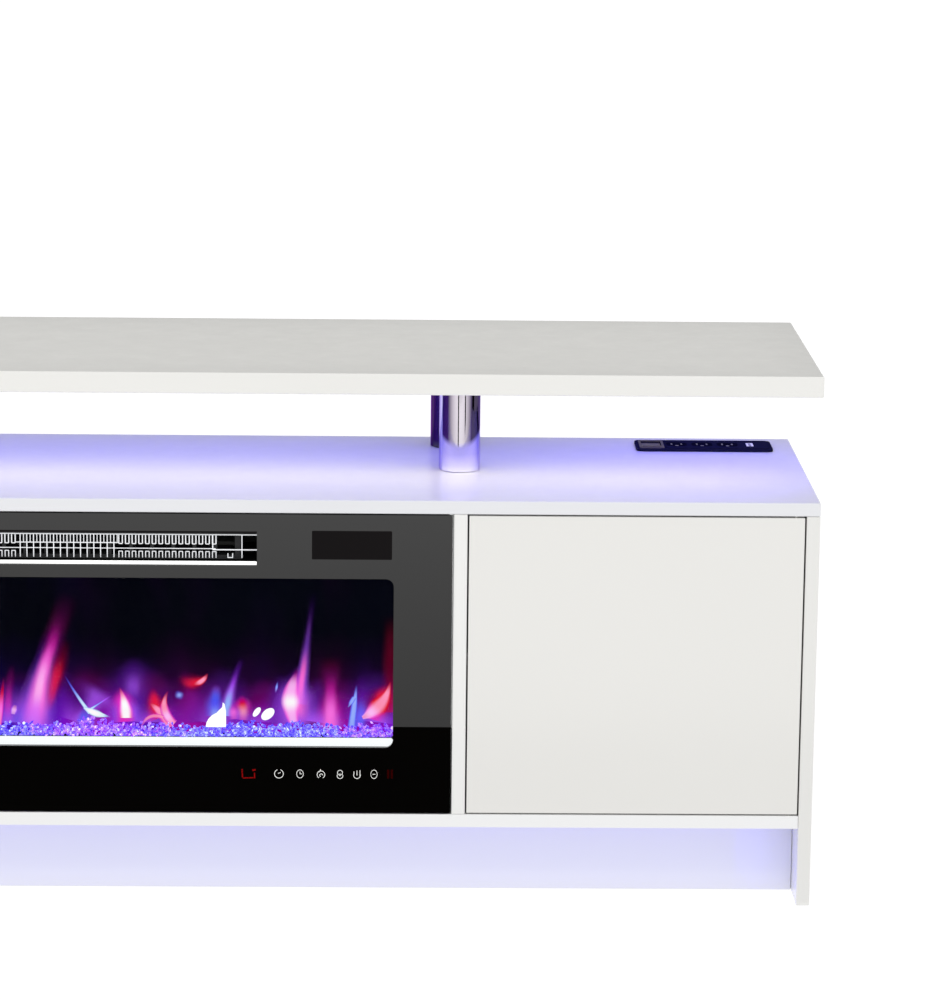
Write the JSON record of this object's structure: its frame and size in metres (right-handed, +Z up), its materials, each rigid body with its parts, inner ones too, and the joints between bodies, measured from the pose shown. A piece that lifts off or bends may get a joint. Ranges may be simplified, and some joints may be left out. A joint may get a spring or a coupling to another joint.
{
  "type": "electric fireplace",
  "caption": "Long white two-tier media cabinet with a fan-heater electric fireplace behind a black glass front, a door at each end and a floating board on chrome posts.",
  "frame": {"origin": "on the floor at the centre of the footprint", "axes": "+X to the right seen from the front, front faces -Y, +Z up"},
  "size_m": [1.778, 0.4, 0.646],
  "materials": {
    "white_lacquer": "white high-gloss lacquer on fibreboard",
    "white_hardboard": "white-faced 3 mm hardboard, matt",
    "chrome": "polished chrome plate on steel tube",
    "black_glass": "black back-printed tempered glass, polished",
    "black_steel": "fine-textured black powder coat",
    "galvanised_steel": "bare galvanised sheet",
    "bright_wire": "bright plated steel mesh",
    "heating_element": "finned ceramic heater with aluminium ribs",
    "black_plastic": "moulded black plastic, fine grain",
    "mirror_foil": "bright metallised foil petals",
    "frosted_acrylic": "frosted tinted acrylic sheet",
    "light_bar": "edge-lit clear acrylic bar",
    "led_strip": "silicone-potted violet LED strip",
    "circuit_board": "green solder mask",
    "display_black": "dark display window",
    "white_nylon": "natural white nylon",
    "plated_steel": "zinc-plated turned pin",
    "grey_plastic": "grey moulded plastic",
    "navy_plastic": "near-black navy moulded plastic, satin",
    "rocker_grey": "dark grey rocker, satin"
  },
  "bodies": {
    "cabinet": {"top_board": "white_lacquer", "cabinet_top": "white_lacquer", "bottom_panel": "white_lacquer", "side_panel_left": "white_lacquer", "side_panel_right": "white_lacquer", "divider_left": "white_lacquer", "divider_right": "white_lacquer", "shelf_left": "white_lacquer", "shelf_right": "white_lacquer", "back_rail": "white_lacquer", "plinth_front": "white_lacquer", "plinth_rear": "white_lacquer", "back_panel_left": "white_hardboard", "back_panel_right": "white_hardboard", "post_front_left": "chrome", "post_front_right": "chrome", "post_rear_left": "chrome", "post_rear_right": "chrome", "front_glass": "black_glass", "housing_left": "black_steel", "housing_right": "black_steel", "housing_top": "black_steel", "housing_bottom": "black_steel", "housing_back": "black_steel", "ember_tray": "black_steel", "heater_duct": "galvanised_steel", "blower_motor": "galvanised_steel", "spindle_motor": "galvanised_steel", "vent_grille": "bright_wire", "heating_element": "heating_element", "supply_gland": "black_plastic", "flame_screen": "frosted_acrylic", "ember_light_bar": "light_bar", "led_strip_upper": "led_strip", "led_strip_lower": "led_strip", "flame_light_board": "circuit_board", "touch_board": "circuit_board", "control_board": "circuit_board", "display_module": "display_black", "pivot_bush_upper_left": "white_nylon", "pivot_bush_lower_left": "white_nylon", "pivot_bush_upper_right": "white_nylon", "pivot_bush_lower_right": "white_nylon", "spindle_bearing": "white_nylon", "push_latch_left": "grey_plastic", "push_latch_right": "grey_plastic", "led_controller": "grey_plastic", "power_strip_housing": "navy_plastic"},
    "door_left": {"door_left": "white_lacquer", "pivot_pin_upper_left": "plated_steel", "pivot_pin_lower_left": "plated_steel"},
    "door_right": {"door_right": "white_lacquer", "pivot_pin_upper_right": "plated_steel", "pivot_pin_lower_right": "plated_steel"},
    "plunger_left": {"latch_plunger_left": "white_nylon"},
    "plunger_right": {"latch_plunger_right": "white_nylon"},
    "rocker": {"power_strip_rocker": "rocker_grey"},
    "blower": {"blower_wheel": "black_plastic"},
    "spindle": {"flame_spindle": "mirror_foil"}
  },
  "joints": [
    {"name": "door_right_hinge", "type": "hinge", "parent": "cabinet", "child": "door_right", "pos_m": [0.861, -0.1945, 0.2955], "axis": [0, 0, 1], "range_deg": [0, 105]},
    {"name": "door_left_hinge", "type": "hinge", "parent": "cabinet", "child": "door_left", "pos_m": [-0.861, -0.1945, 0.2955], "axis": [0, 0, -1], "range_deg": [0, 105]},
    {"name": "plunger_right_slide", "type": "slide", "parent": "cabinet", "child": "plunger_right", "axis": [0, -1, 0], "range_m": [0, 0.012]},
    {"name": "plunger_left_slide", "type": "slide", "parent": "cabinet", "child": "plunger_left", "axis": [0, -1, 0], "range_m": [0, 0.012]},
    {"name": "rocker_tilt", "type": "hinge", "parent": "cabinet", "child": "rocker", "pos_m": [0.71, 0.1415, 0.4943], "axis": [1, 0, 0], "range_deg": [0, 12]},
    {"name": "blower_spin", "type": "hinge", "parent": "cabinet", "child": "blower", "pos_m": [0, -0.105, 0.435], "axis": [1, 0, 0], "continuous": true},
    {"name": "spindle_spin", "type": "hinge", "parent": "cabinet", "child": "spindle", "pos_m": [0, -0.125, 0.235], "axis": [1, 0, 0], "continuous": true}
  ],
  "couplings": [
    {"joint": "plunger_right_slide", "follows": "door_right_hinge", "m_per_rad": 0.0065},
    {"joint": "plunger_left_slide", "follows": "door_left_hinge", "m_per_rad": 0.0065}
  ]
}
